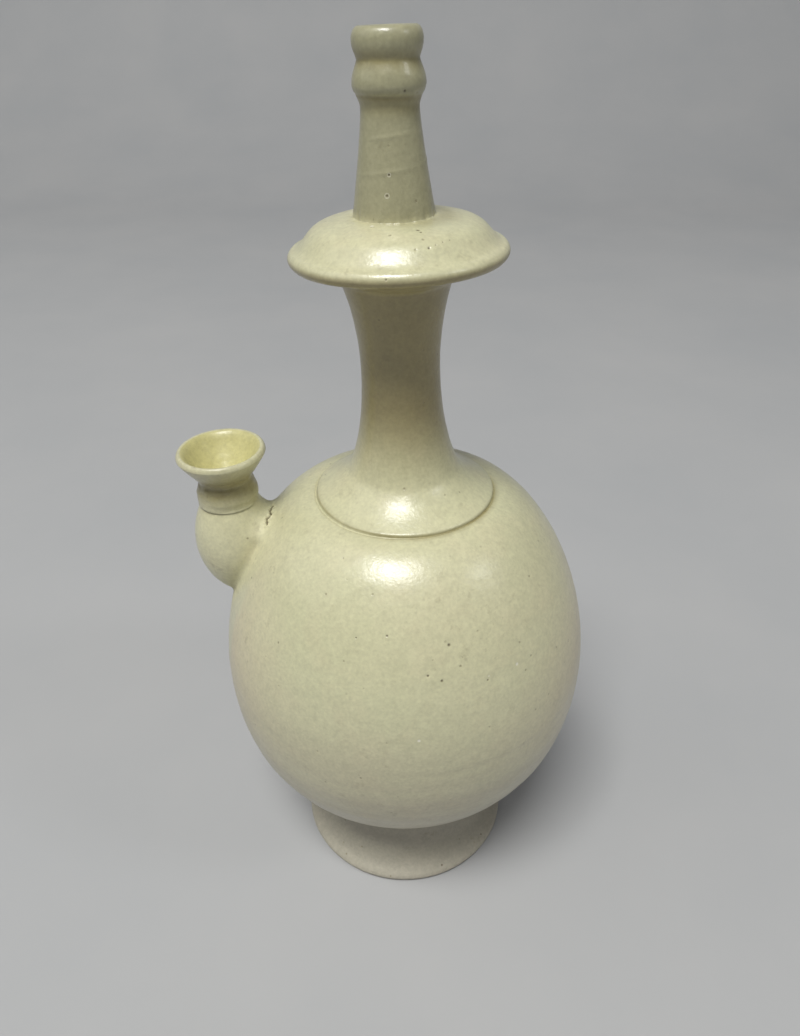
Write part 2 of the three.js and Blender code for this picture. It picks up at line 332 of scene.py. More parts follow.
def on_vessel(points, rows):
    """The vessel's points: those of the disc tilt with the disc and all others lean with the axis."""
    radius = np.hypot(points[:, 0], points[:, 1])
    height = points[:, 2]
    under = smooth_step(height, NECK_TOP - 1.5, NECK_TOP + 2.5)
    rim = NECK_TOP + DISC_UNDER_RISE
    crown = 1 - smooth_step(-radius, -DISC_CROWN_RADIUS, -TUBE_FOOT_RADIUS - 0.5)
    share = np.where(height < rim, under, np.where(height < TUBE_FOOT + 1.5, crown, 0))[:, None]
    return leaned(points) * (1 - share) + on_disc(points) * share


def on_axis(points, rows):
    return leaned(points)


def on_spout(points, rows=None):
    tilted = turn(turn(points, "X", SPOUT_LEAN_FRONT), "Y", -SPOUT_LEAN_OUT)
    return tilted + [-SPOUT_REACH, 0, SPOUT_HEIGHT]


def spout_facing(points):
    """How far points around the spout's axis face the side where the ring's ledge stands out."""
    angle = np.arctan2(points[:, 1], points[:, 0])
    return smooth_step(np.cos(angle - math.radians(LEDGE_AZIMUTH)), 0.35, 0.95)


def on_spout_outside(points, rows):
    """The outside of the spout: the ring's ledge stands out on the left front and fades elsewhere."""
    facing = spout_facing(points)
    level = points[:, 2] - BULB_UPPER_HEIGHT - RING_STEP
    ledge = np.exp(-((np.maximum(level, 0) / 1.6) ** 2)) * (level > -0.3)
    radius = np.maximum(np.hypot(points[:, 0], points[:, 1]), 1e-6)
    grown = 1 + ledge * (LEDGE_DEPTH * facing - LEDGE_FADE * (1 - facing)) / radius
    grown = np.where(radius > BULB_TOP_RADIUS - 1, grown, 1)
    return on_spout(points * np.column_stack([grown, grown, np.ones(len(points))]))


def spout_frame(points):
    """Points of the vessel in the frame of the spout, the reverse of on_spout."""
    moved = points - [-SPOUT_REACH, 0, SPOUT_HEIGHT]
    return turn(turn(moved, "Y", SPOUT_LEAN_OUT), "X", -SPOUT_LEAN_FRONT)


def vessel_rows():
    """The outside, from under the foot up to the mouth and a little way down into it."""
    stand_outer = FOOT_RADIUS - FOOT_RIM_ROUND
    stand_inner = FOOT_RADIUS - FOOT_WALL
    recess = inside(FOOT_FLARE, FOOT_WALL, 0.35, 0.8)[::-1]
    recess_edge = FOOT_WAIST_RADIUS - 2 * FOOT_WALL
    foot_corner = (FOOT_RADIUS + FOOT_RIM_ROUND, FOOT_RIM_HEIGHT / 2)
    groove_outer = (SHOULDER_RADIUS + GROOVE_WIDTH / 2, SHOULDER - 0.1)
    groove_inner = (SHOULDER_RADIUS - GROOVE_WIDTH / 2, NECK_FOOT - 0.1)
    groove_floor = (SHOULDER_RADIUS - GROOVE_WIDTH / 4, SHOULDER - 2 * GROOVE_DEPTH)
    upper = BODY_UPPER[BODY_UPPER[:, 0] > groove_outer[0] + 0.2]
    flare = NECK_FLARE[NECK_FLARE[:, 0] < SHOULDER_RADIUS - 1]
    flare_edge = (SHOULDER_RADIUS - GROOVE_WIDTH / 2, NECK_FOOT + 0.15)
    disc_low = NECK_TOP + DISC_UNDER_RISE
    rim_low = (DISC_RADIUS - DISC_RIM_ROUND, disc_low)
    rim_edge = (DISC_RADIUS - DISC_RIM_ROUND, disc_low + DISC_RIM_THICKNESS)
    rim_corner = (DISC_RADIUS + DISC_RIM_ROUND, disc_low + DISC_RIM_THICKNESS / 2)
    crown_edge = (DISC_CROWN_RADIUS, rim_edge[1] + DISC_STEP_HEIGHT)
    crown_top = (TUBE_FOOT_RADIUS - TUBE_WALL, crown_edge[1] + DISC_CROWN_RISE)
    crown = sweep(crown_edge, (0.11, 0.46), (0.54, 0.92), crown_top)
    crown = crown[crown[:, 0] > TUBE_FOOT_RADIUS + 0.12]
    tube = TUBE_CONE[TUBE_CONE[:, 1] > crown[-1, 1] + 0.15]
    bulge, collar, lip = (BULGE_RADIUS, BULGE), (COLLAR_RADIUS, COLLAR), (LIP_RADIUS, LIP)
    rim_top = (LIP_RADIUS - LIP_ROUND, MOUTH)
    bore = TUBE_TOP_RADIUS - TUBE_WALL + BORE_STEP
    mouth_low = (bore, MOUTH - MOUTH_DEPTH)
    mouth_edge = (bore + MOUTH_FLARE, MOUTH - 1.5)
    return joined(
        (straight((0, FOOT_RECESS_HEIGHT), (recess_edge, FOOT_RECESS_HEIGHT)), HOLLOW_GAP),
        (straight((recess_edge, FOOT_RECESS_HEIGHT), recess[0]), HOLLOW_GAP),
        (recess, HOLLOW_GAP),
        (straight(recess[-1], (stand_inner, 0.4)), HOLLOW_GAP),
        (bow((stand_inner, 0.4), (stand_inner, 0), (stand_inner + 0.4, 0)), RIM_GAP),
        (straight((stand_inner + 0.4, 0), (stand_outer, 0)), WIDE_GAP),
        (bow((stand_outer, 0), foot_corner, FOOT_FLARE[0]), FINE_GAP),
        (FOOT_FLARE, WIDE_GAP),
        (BODY_LOWER, WIDE_GAP),
        (upper, WIDE_GAP),
        (straight(upper[-1], groove_outer), RIM_GAP),
        (bow(groove_outer, groove_floor, groove_inner), RIM_GAP / 2),
        (bow(groove_inner, flare_edge, flare[0]), RIM_GAP),
        (flare, WIDE_GAP),
        (NECK_LOWER, WIDE_GAP),
        (NECK_UPPER, WIDE_GAP),
        (sweep((NECK_TOP_RADIUS, NECK_TOP), (0.25, 0.25), (0.7, 0.85), rim_low), WIDE_GAP),
        (bow(rim_low, rim_corner, rim_edge), FINE_GAP),
        (sweep(rim_edge, (0.4, 0.05), (0.6, 0.75), crown_edge), FINE_GAP),
        (crown, FINE_GAP),
        (bow(crown[-1], (TUBE_FOOT_RADIUS, crown[-1, 1] + 0.05), tube[0]), RIM_GAP),
        (tube, 2 * FINE_GAP),
        (sweep((TUBE_TOP_RADIUS, TUBE_TOP), (0.05, 0.4), (1, 0.72), bulge), FINE_GAP),
        (sweep(bulge, (0, 0.5), (0.9, 0.75), collar), FINE_GAP),
        (sweep(collar, (0.1, 0.2), (1, 0.5), lip), FINE_GAP),
        (sweep(lip, (0, 0.6), (0.5, 1), rim_top), RIM_GAP),
        (bow(rim_top, (mouth_edge[0] + 0.3, MOUTH), mouth_edge), RIM_GAP),
        (straight(mouth_edge, mouth_low), FINE_GAP),
        (straight(mouth_low, (0, mouth_low[1])), HOLLOW_GAP),
    )


def hollow_rows():
    """The hollow of the body, neck and tube, up into the mouth."""
    bore = TUBE_TOP_RADIUS - TUBE_WALL
    floor = FOOT_RECESS_HEIGHT + FLOOR_THICKNESS
    lower = inside(BODY_LOWER, BODY_WALL, 0.15, 1)
    upper = inside(BODY_UPPER, BODY_WALL, 0, 0.9)
    neck = inside(NECK_LOWER, NECK_WALL, 0.28, 1)
    high = inside(NECK_UPPER, NECK_WALL)
    tube = inside(TUBE_CONE, TUBE_WALL)
    flat_edge = (FOOT_WAIST_RADIUS / 2, floor)
    top = (bore, MOUTH - MOUTH_DEPTH + 1)
    lines = [straight((0, floor), flat_edge), straight(flat_edge, lower[0]), lower, upper]
    lines += [straight(upper[-1], neck[0]), neck, high, straight(high[-1], tube[0]), tube]
    lines += [straight(tube[-1], top), straight(top, (0, top[1]))]
    return joined(*[(line, HOLLOW_GAP) for line in lines])


def spout_rows():
    """The outside of the spout, from under the bulb up to the lip and down through the bowl."""
    ledge_low = (BULB_TOP_RADIUS, BULB_UPPER_HEIGHT + 0.1)
    ledge = (RING_RADIUS, BULB_UPPER_HEIGHT + RING_STEP)
    cup_rim = (CUP_RADIUS, CUP_RIM)
    lip_top = (CUP_RADIUS - CUP_LIP_WIDTH / 2, CUP_TOP)
    bowl_edge = (CUP_RADIUS - CUP_LIP_WIDTH - BOWL_LIP_WIDTH, CUP_TOP - BOWL_LIP_DEPTH)
    bore = SPOUT_BORE + BORE_STEP
    bowl_foot = (bore, CUP_FOOT)
    return joined(
        (BULB_LOWER, FINE_GAP * 1.5),
        (BULB_UPPER, FINE_GAP * 1.5),
        (straight(BULB_UPPER[-1], ledge_low), RIM_GAP),
        (bow(ledge_low, (RING_RADIUS + 0.1, ledge_low[1]), ledge), RIM_GAP),
        (straight(ledge, (RING_RADIUS, RING_TOP)), FINE_GAP),
        (STEM, FINE_GAP),
        (CUP_SIDE, FINE_GAP),
        (sweep(cup_rim, (0, 0.5), (0.5, 1), lip_top), RIM_GAP),
        (bow(lip_top, (bowl_edge[0] + BOWL_LIP_WIDTH, CUP_TOP), bowl_edge), RIM_GAP),
        (sweep(bowl_edge, (0.25, 0.33), (0.62, 0.67), bowl_foot), FINE_GAP),
        (straight(bowl_foot, (bore, CUP_FOOT - 2)), FINE_GAP),
        (straight((bore, CUP_FOOT - 2), (0, CUP_FOOT - 2)), HOLLOW_GAP),
    )


def spout_hollow_rows():
    """The bore under the cup and the hollow of the bulb."""
    lower = inside(BULB_LOWER, SPOUT_WALL, 0.3, 1)
    upper = inside(BULB_UPPER, SPOUT_WALL, 0, 0.8)
    floor = (0, SPOUT_WALL - BULB_LOWER_HEIGHT)
    neck = (SPOUT_BORE, BULB_UPPER_HEIGHT)
    top = (SPOUT_BORE, CUP_FOOT - 1)
    lines = [straight(floor, lower[0]), lower, upper, straight(upper[-1], neck)]
    lines += [straight(neck, top), straight(top, (0, top[1]))]
    return joined(*[(line, HOLLOW_GAP / 2) for line in lines])


def wall_hole():
    """The hole through the wall of the body, from the hollow of the bulb."""
    length = SPOUT_REACH - (BODY_RADIUS - BODY_WALL) / 2
    rows = np.array([(0, 0), (WALL_HOLE_RADIUS, 0), (WALL_HOLE_RADIUS, length), (0, length)], float)
    height = SPOUT_HEIGHT - BULB_LOWER_HEIGHT + SPOUT_WALL + WALL_HOLE_RADIUS

    def lying(points, rows):
        return turn(points, "Y", 90) + [-SPOUT_REACH, 0, height]

    return turned("wall_hole", rows, AROUND_BORE, lying)


def combine(target, other, operation):
    """Joins the other form to the target or cuts it out of the target, and drops the other form."""
    cut = target.modifiers.new(operation, "BOOLEAN")
    cut.operation = operation
    cut.solver = "MANIFOLD"
    cut.object = other
    bpy.context.view_layer.update()
    finished = target.evaluated_get(bpy.context.evaluated_depsgraph_get())
    mesh = bpy.data.meshes.new_from_object(finished)
    target.modifiers.clear()
    target.data = mesh
    bpy.data.objects.remove(other)


def mesh_points(mesh):
    flat = np.zeros(len(mesh.vertices) * 3)
    mesh.vertices.foreach_get("co", flat)
    return flat.reshape(-1, 3) / MM


def keep_points(mesh, points):
    mesh.vertices.foreach_set("co", (points * MM).ravel())
    mesh.update()


def line_distance(points, line):
    """Signed distance in a half plane to an upward line, less than zero on its inner side."""
    start, step = line[:-1], np.diff(line, axis=0)
    length = (step**2).sum(1)
    found = np.empty(len(points))
    for first in range(0, len(points), 4000):
        part = points[first : first + 4000, None, :] - start
        share = np.clip((part * step).sum(2) / length, 0, 1)
        rest = part - share[..., None] * step
        distance = np.sqrt((rest**2).sum(2))
        nearest = distance.argmin(1)
        pick = np.arange(len(nearest))
        away, along = rest[pick, nearest], step[nearest]
        side = np.sign(along[:, 1] * away[:, 0] - along[:, 0] * away[:, 1])
        found[first : first + 4000] = side * distance[pick, nearest]
    return found


BODY_LINE = spaced(BODY_UPPER[10:], 0.7)
SPOUT_LINE = np.vstack([spaced(BULB_LOWER, 0.7), spaced(BULB_UPPER, 0.7)[1:], spaced(STEM, 0.7)])


def flat_frame(points):
    return np.column_stack([np.hypot(points[:, 0], points[:, 1]), points[:, 2]])


def join_fields(points):
    """Distances to the body's and the spout's outsides."""
    body = line_distance(flat_frame(points), BODY_LINE)
    spout = line_distance(flat_frame(spout_frame(points)), SPOUT_LINE)
    return body, spout


def join_softness(points):
    """The corner is nearly sharp at the front and back, and filled with clay at the top."""
    top = smooth_step(points[:, 2], JOIN_TOP_START, JOIN_TOP_END)
    return JOIN_SOFTNESS + (JOIN_TOP_SOFTNESS - JOIN_SOFTNESS) * top


def soft_field(points):
    """The distance to both outsides together, with the corner between them filled softly."""
    body, spout = join_fields(points)
    softness = join_softness(points)
    share = np.clip(0.5 + 0.5 * (spout - body) / softness, 0, 1)
    return spout * (1 - share) + body * share - softness * share * (1 - share)


def settle(points, rounds):
    """Moves points onto the softly joined outside."""
    reach = 0.02
    for _ in range(rounds):
        value = soft_field(points)
        rises = [soft_field(points + step) - soft_field(points - step) for step in np.eye(3) * reach]
        slope = np.column_stack(rises) / (2 * reach)
        points = points - slope * (value / np.maximum((slope**2).sum(1), 0.2))[:, None]
    return points


def near_join(points, extra):
    """Which points of the outside lie near the join of body and spout."""
    x, z = points[:, 0], points[:, 2]
    near = (x < JOIN_SIDE) & (z > SPOUT_SIDE_LOW) & (z < JOIN_SIDE_HIGH)
    found = np.zeros(len(points), bool)
    body, spout = join_fields(points[near])
    width = join_softness(points[near]) + extra
    outer = np.minimum(body, spout) > -JOIN_DEEPEST
    found[near] = outer & (np.abs(body - spout) < width) & (np.maximum(body, spout) < width)
    return found


def refine(mesh, chosen, longest, rounds):
    """Splits the edges longer than a length that have a chosen end, round by round."""
    bm = bmesh.new()
    bm.from_mesh(mesh)
    bmesh.ops.triangulate(bm, faces=[f for f in bm.faces if len(f.verts) > 3])
    for _ in range(rounds):
        bm.verts.index_update()
        near = chosen(np.array([v.co for v in bm.verts]) / MM)
        edges = [
            e
            for e in bm.edges
            if (near[e.verts[0].index] or near[e.verts[1].index]) and e.calc_length() > longest * MM
        ]
        bmesh.ops.subdivide_edges(bm, edges=edges, cuts=1)
        bmesh.ops.triangulate(bm, faces=[f for f in bm.faces if len(f.verts) > 3])
    bmesh.ops.dissolve_degenerate(bm, edges=bm.edges[:], dist=0.01 * MM)
    bm.to_mesh(mesh)
    bm.free()


def neighbour_mean(points, edges):
    total = np.zeros_like(points)
    count = np.zeros(len(points))
    for one, other in ((0, 1), (1, 0)):
        np.add.at(total, edges[:, one], points[edges[:, other]])
        np.add.at(count, edges[:, one], 1)
    return total / np.maximum(count, 1)[:, None]


def soften_join(mesh):
    """Fills the corner between body and spout with a soft hollow, as the potter's finger leaves it."""
    points = mesh_points(mesh)
    chosen = near_join(points, 0.4)
    edges = np.array([e.vertices[:] for e in mesh.edges])
    edges = edges[chosen[edges].any(1)]
    points[chosen] = settle(points[chosen], 4)
    for _ in range(8):
        points[chosen] = settle(neighbour_mean(points, edges)[chosen], 1)
    points[chosen] = settle(points[chosen], 2)
    keep_points(mesh, points)


def waves(values, parts):
    """A sum of (length, height, start) waves along the values."""
    return sum(high * np.sin(2 * math.pi * values / length + start) for length, high, start in parts)


# Two turns of a raised line that the potter's finger left on the mouth tube, rising to the right
THREAD_PITCH = 8.2
THREAD_HEIGHT = 266.0
THREAD_AZIMUTH = -154.0
THREAD_LOW = 264.5
THREAD_HIGH = 279.0
THREAD_RAISE = 0.13
THREAD_WIDTH = 0.55

# A fine line under the bulge of the tube
LINE_HEIGHT = 284.6
LINE_WIDTH = 0.28
LINE_DEPTH = 0.13

# Waves as (length, height, start): throwing rings, traces on the stem of the spout and the luted edge
THROWING_WAVES = [(11.0, 0.05, 0.4), (6.3, 0.04, 2.1), (4.1, 0.02, 0.3)]
STEM_WAVES = [(2.3, 0.07, 0.4), (1.3, 0.05, 1.0)]
STEM_LUMPS = [(9.0, 0.05, 0.7), (5.2, 0.04, 0.1)]
LUTING_LUMPS = [(1.1, 0.14, 0.2), (0.47, 0.16, 1.9), (0.21, 0.1, 0.6)]


def thread_distance(points):
    """Distance from the raised line on the tube, in millimetres along the height."""
    x = points[:, 0] - lean_at(points[:, 2])[0]
    azimuth = np.degrees(np.arctan2(points[:, 1], x))
    turns = (points[:, 2] - THREAD_HEIGHT) / THREAD_PITCH - (azimuth - THREAD_AZIMUTH) / 360
    return (turns - np.round(turns)) * THREAD_PITCH


def near_thread(points):
    level = (points[:, 2] > THREAD_LOW) & (points[:, 2] < THREAD_HIGH)
    outside = np.hypot(points[:, 0], points[:, 1]) > TUBE_TOP_RADIUS - TUBE_WALL + 1.5
    return level & outside & (np.abs(thread_distance(points)) < 1.3)


def near_line(points):
    level = np.abs(points[:, 2] - LINE_HEIGHT) < 0.8
    return level & (np.hypot(points[:, 0], points[:, 1]) > TUBE_TOP_RADIUS - 1)


def around_tube(points):
    """Each point's distance from the leaning axis and its direction around it."""
    x = points[:, 0] - lean_at(points[:, 2])[0]
    return np.hypot(x, points[:, 1]), np.arctan2(points[:, 1], x)


def stem_rings(points):
    """Fine uneven turning rings on the stem and under the cup of the spout."""
    local = spout_frame(points)
    radius, height = np.hypot(local[:, 0], local[:, 1]), local[:, 2]
    angle = np.arctan2(local[:, 1], local[:, 0])
    above_ring = smooth_step(height, RING_TOP - 3, RING_TOP - 1)
    below_cup = 1 - smooth_step(height, CUP_FOOT + 1, CUP_FOOT + 5)
    outside = (radius > SPOUT_BORE + 2) & (radius < CUP_RADIUS) & (points[:, 0] < SPOUT_SIDE)
    rings = waves(height + 0.3 * np.sin(angle * 2 + 1), STEM_WAVES)
    lumps = waves(angle * 10 + height, STEM_LUMPS)
    return (rings + lumps) * (above_ring * below_cup) * outside


def groove_depth(points):
    """The luting groove is open at the front and filled with glaze at the back."""
    return 1 - smooth_step(points[:, 1], GROOVE_FADE_START, GROOVE_FADE_END)


def body_relief(z, angle):
    """Throwing rings, stronger low on the body, and a slow unevenness of its roundness."""
    height = waves(z + 1.6 * np.sin(angle + 0.7), THROWING_WAVES)
    swell = 0.5 + 0.5 * np.sin(2 * angle + z / 8 + 0.8) * np.sin(angle - z / 13)
    rings = height * swell * (0.5 + 1.3 * (1 - smooth_step(z, 60, 120)))
    slow = 0.16 * np.sin(2 * angle + z / 60) + 0.08 * np.sin(3 * angle + z / 35 + 1.2)
    return (rings + slow) * (smooth_step(z, 3, 10) * (1 - smooth_step(z, 225, 240)))


def thread_relief(points, angle):
    """The raised line on the mouth tube, uneven, with soft ends."""
    z = points[:, 2]
    start = smooth_step(z, THREAD_LOW, THREAD_LOW + 2)
    end = 1 - smooth_step(z, THREAD_HIGH - 2, THREAD_HIGH)
    uneven = 0.65 + 0.35 * np.sin(3 * angle + 0.6)
    line = np.exp(-((thread_distance(points) / THREAD_WIDTH) ** 2))
    return THREAD_RAISE * uneven * (line * (start * end) * near_thread(points))


def luting_relief(points, from_axis, angle):
    """The uneven edge at the foot of the tube, and the groove at the shoulder filled at the back."""
    z = points[:, 2]
    luted = bell(from_axis, TUBE_FOOT_RADIUS + 0.2, 0.8) * bell(z, TUBE_FOOT, 2.5)
    in_groove = bell(from_axis, SHOULDER_RADIUS, 0.45) * bell(z, NECK_FOOT - 0.4, 0.8)
    filled = GROOVE_DEPTH * in_groove * (1 - groove_depth(points))
    return filled + luted * waves(angle, LUTING_LUMPS)


def relief(points):
    """The potter's traces, in millimetres along the normal."""
    z = points[:, 2]
    from_axis, angle = around_tube(points)
    line = LINE_DEPTH * bell(z, LINE_HEIGHT, LINE_WIDTH) * (from_axis > TUBE_TOP_RADIUS - 0.5)
    traces = body_relief(z, angle) + thread_relief(points, angle)
    return traces + luting_relief(points, from_axis, angle) - line + stem_rings(points)


def add_attribute(mesh, name, values):
    mesh.attributes.new(name, "FLOAT", "POINT").data.foreach_set("value", values.astype(np.float32))


def in_cup_bowl(radius, height):
    """Which points lie in the bowl of the cup, by their place in the frame of the spout."""
    wall_middle = np.interp(height, CUP_SIDE[:, 1], CUP_SIDE[:, 0]) - CUP_LIP_WIDTH * 0.7
    return (height > CUP_FOOT - 2.5) & (height < CUP_TOP + 1) & (radius < wall_middle)


def bare_clay(radius, z):
    """The hollow under the foot and the ring that it stands on have no glaze."""
    wall_middle = np.interp(z, FOOT_FLARE[:, 1], FOOT_FLARE[:, 0]) - FOOT_WALL / 2
    recess = (radius < wall_middle) & (z < FOOT_RECESS_HEIGHT + 0.5)
    return recess | ((radius < FOOT_RADIUS - FOOT_RIM_ROUND + 0.3) & (z < 0.6))


def under_disc(points):
    """How far points lie on the lower half of the disc's rim, or under the disc, where shade is painted
    into the glaze.
    """
    local = disc_frame(points)
    rim_middle = DISC_UNDER_RISE + DISC_RIM_THICKNESS / 2
    below = 1 - smooth_step(local[:, 2], rim_middle - 0.8, rim_middle + 1.4)
    outside = np.hypot(local[:, 0], local[:, 1]) > NECK_TOP_RADIUS - 2
    return below * (outside * smooth_step(local[:, 2], -4, 0))


def vessel_pools_and_shade(points, radius, z):
    """Pooled glaze and painted shade in the groove, under the lip and bulge, and at the foot of the tube.
    """
    groove = bell(z, NECK_FOOT - 0.4, 0.6) * bell(radius, SHOULDER_RADIUS, 1) * groove_depth(points)
    under_lip = 0.7 * bell(z, COLLAR, 2.2) + 0.6 * bell(z, TUBE_TOP + 0.8, 2.2)
    tube_foot = 0.5 * bell(z, TUBE_FOOT - 0.6, 1.5) * bell(radius, TUBE_FOOT_RADIUS, 3)
    return GROOVE_POOL_AND_SHADE * groove + under_lip + tube_foot


def spout_pools_and_shade(local):
    """Pooled glaze and painted shade under the ring's ledge and around the stem under the cup."""
    ledge = bell(local[:, 2], BULB_UPPER_HEIGHT, 0.7) * spout_facing(local)
    return LEDGE_POOL_AND_SHADE * ledge + STEM_POOL_AND_SHADE * bell(local[:, 2], CUP_FOOT, STEM_POOL_AND_SHADE_WIDTH)


def glaze_attributes(mesh, points):
    """Where the glaze pooled and where shade is painted into it, where it is thin and where the clay is
    bare, for the glaze's shader.
    """
    radius, z = np.hypot(points[:, 0], points[:, 1]), points[:, 2]
    local = spout_frame(points)
    spout_radius = np.hypot(local[:, 0], local[:, 1])
    in_bowl = in_cup_bowl(spout_radius, local[:, 2])
    near_spout = (points[:, 0] < SPOUT_SIDE) & (spout_radius < BULB_RADIUS + 8) & (z > SPOUT_SIDE_LOW)
    body, spout = join_fields(points[near_spout])
    from_join = body**2 + spout**2

    # Pooled glaze together with painted shade in hollows and under ledges, and painted shade in the
    # crease of the join
    pool_and_shade = vessel_pools_and_shade(points, radius, z)
    crease = CREASE_POOL_AND_SHADE * np.exp(-from_join / JOIN_CREASE_WIDTH**2)
    pool_and_shade[near_spout] = (crease + spout_pools_and_shade(local[near_spout])) * ~in_bowl[near_spout]
    # Painted shade along the fine line under the bulge
    pool_and_shade += 0.5 * bell(z, LINE_HEIGHT - 0.4, 0.6) * (radius < 16)
    # The neck's brown glaze is darkened with painted shade from the disc, and shade is painted under the
    # disc and on its rim's lower half
    neck = smooth_step(z, NECK_FOOT + NECK_TINT_START, NECK_FOOT + NECK_TINT_FULL)
    neck *= 1 - smooth_step(z, NECK_TOP, NECK_TOP + 6)
    neck = np.maximum(np.where(near_spout, 0, neck), under_disc(points))
    dull = np.where(in_bowl, BOWL_DULL, FOOT_DULL * (1 - smooth_step(z, FOOT_DULL_FULL, FOOT_DULL_END)))
    dull[near_spout] = np.maximum(dull[near_spout], np.exp(-from_join / JOIN_DULL_WIDTH**2))
    # The mouth tube's darker olive glaze carries painted shade on its steep sides
    high = smooth_step(z, TUBE_FOOT - 1, TUBE_FOOT + 2) * (radius < 16)
    blush = smooth_step(np.abs(points[:, 0]), BLUSH_START, BLUSH_END) * bell(z, BLUSH_HEIGHT, BLUSH_WIDTH)

    add_attribute(mesh, "dull", dull)
    add_attribute(mesh, "pool_and_shade", np.clip(pool_and_shade, 0, 1))
    add_attribute(mesh, "bowl", (in_bowl & near_spout).astype(float))
    add_attribute(mesh, "neck", neck)
    add_attribute(mesh, "blush", blush * ~near_spout)
    # Drier glaze low on the body, darkened there with painted shade
    add_attribute(mesh, "low", 1 - smooth_step(z, DRY_AND_SHADE_FULL, DRY_AND_SHADE_END))
    add_attribute(mesh, "foot", 1 - smooth_step(z, FOOT_HEIGHT - 4, FOOT_HEIGHT + 4))
    add_attribute(mesh, "high", np.where(near_spout, 0, high))
    add_attribute(mesh, "bare", bare_clay(radius, z).astype(float))


# Small marks that the photo shows, as (pixel right, pixel down, radius in millimetres)
PIT_PIXELS = [
    (405, 91, 0.36),
    (389, 175, 0.28),
    (387, 196, 0.28),
    (386, 280, 0.25),
    (418, 230, 0.5),
    (421, 232, 0.35),
    (429, 248, 0.36),
    (436, 245, 0.16),
    (443, 242, 0.16),
    (450, 240, 0.16),
    (387, 636, 0.38),
    (449, 645, 0.5),
    (442, 681, 0.45),
    (428, 676, 0.4),
    (488, 680, 0.32),
    (356, 638, 0.25),
    (442, 865, 0.4),
    (481, 834, 0.3),
]
NICK_PIXELS = [(517, 664, 0.5), (419, 741, 0.5), (372, 226, 0.5), (489, 676, 0.25)]
# Two of the pits have a pale ring around them
RING_PIXELS = [(387, 196, 0.62), (389, 175, 0.45)]
PIT_DEPTH = 0.22
NICK_DEPTH = 0.12

# The drying crack over the join of the spout, from its upper to its lower end, in pixels
CRACK_PIXELS = [(273, 506), (270, 511), (271, 515), (267, 519), (267, 525)]
CRACK_WIDTH = 0.52
CRACK_DEPTH = 0.6

# Small pits on the hidden sides, placed by chance with a fixed seed
HIDDEN_PITS = 16
HIDDEN_SEED = 7

CAMERA_BACK = 225.8
CAMERA_HEIGHT = 303.5
CAMERA_PITCH = 33.63
FOCAL_PIXELS = 770
PHOTO_SIZE = (800, 1036)
AXIS_PIXEL = 404.9


def pixel_ray(right, down):
    """The camera's place and the direction of a pixel, in the frame of the body."""
    side = (right - AXIS_PIXEL) / FOCAL_PIXELS
    rise = (PHOTO_SIZE[1] / 2 - down) / FOCAL_PIXELS
    pitch = math.radians(CAMERA_PITCH)
    ahead = math.cos(pitch) + rise * math.sin(pitch)
    above = -math.sin(pitch) + rise * math.cos(pitch)
    return Vector((0, -CAMERA_BACK, CAMERA_HEIGHT)), Vector((side, ahead, above)).normalized()


def marks_on(mesh):
    """The places of the small marks on the mesh: pits, nicks, rings and crack, each with its radius."""
    points = mesh_points(mesh)
    tree = BVHTree.FromPolygons(points.tolist(), [p.vertices[:] for p in mesh.polygons])
    chance = np.random.default_rng(HIDDEN_SEED)
    pits = [(*tree.ray_cast(*pixel_ray(right, down))[0], size) for right, down, size in PIT_PIXELS]
    for _ in range(HIDDEN_PITS):
        azimuth, height = chance.uniform(0.1, math.pi - 0.1), chance.uniform(20, 160)
        outwards = Vector((math.cos(azimuth), math.sin(azimuth), 0))
        place = tree.ray_cast(Vector((0, 0, height)) + outwards * 100, -outwards)[0]
        pits.append((*place, chance.uniform(0.2, 0.45)))
    nicks = [(*tree.ray_cast(*pixel_ray(right, down))[0], size) for right, down, size in NICK_PIXELS]
    rings = [(*tree.ray_cast(*pixel_ray(right, down))[0], size) for right, down, size in RING_PIXELS]
    crack = [(*tree.ray_cast(*pixel_ray(*pixel))[0], CRACK_WIDTH) for pixel in CRACK_PIXELS]
    return np.array(pits), np.array(nicks), np.array(rings), np.array(crack)


def spot_depths(points, spots):
    """How deep each point lies in round spots: 1 in the middle of one, 0 away from all."""
    depth = np.zeros(len(points))
    for x, y, z, size in spots:
        near = np.abs(points - [x, y, z]).max(1) < 3 * size
        distance = np.linalg.norm(points[near] - [x, y, z], axis=1)
        depth[near] = np.maximum(depth[near], np.exp(-((distance / size) ** 2)))
    return depth


def ring_shares(points, rings):
    """How near each point lies to the pale rings: 1 on the line of one."""
    share = np.zeros(len(points))
    for x, y, z, size in rings:
        distance = np.linalg.norm(points - [x, y, z], axis=1)
        share = np.maximum(share, 0.5 * bell(distance, size, 0.14))
    return share


def crack_depths(points, crack):
    """How deep each point lies in the crack, which is wider at its middle and ragged."""
    depth = np.zeros(len(points))
    ragged = 1 + 0.35 * waves(points[:, 1] + 0.6 * points[:, 2], [(2.1, 1, 0.3), (0.9, 0.6, 1.0)])
    for one, other in zip(crack[:-1, :3], crack[1:, :3]):
        step = other - one
        share = np.clip((points - one) @ step / (step @ step), 0, 1)
        distance = np.linalg.norm(points - one - share[:, None] * step, axis=1)
        depth = np.maximum(depth, np.exp(-((distance / (CRACK_WIDTH * 0.55 * ragged)) ** 2)))
    return depth


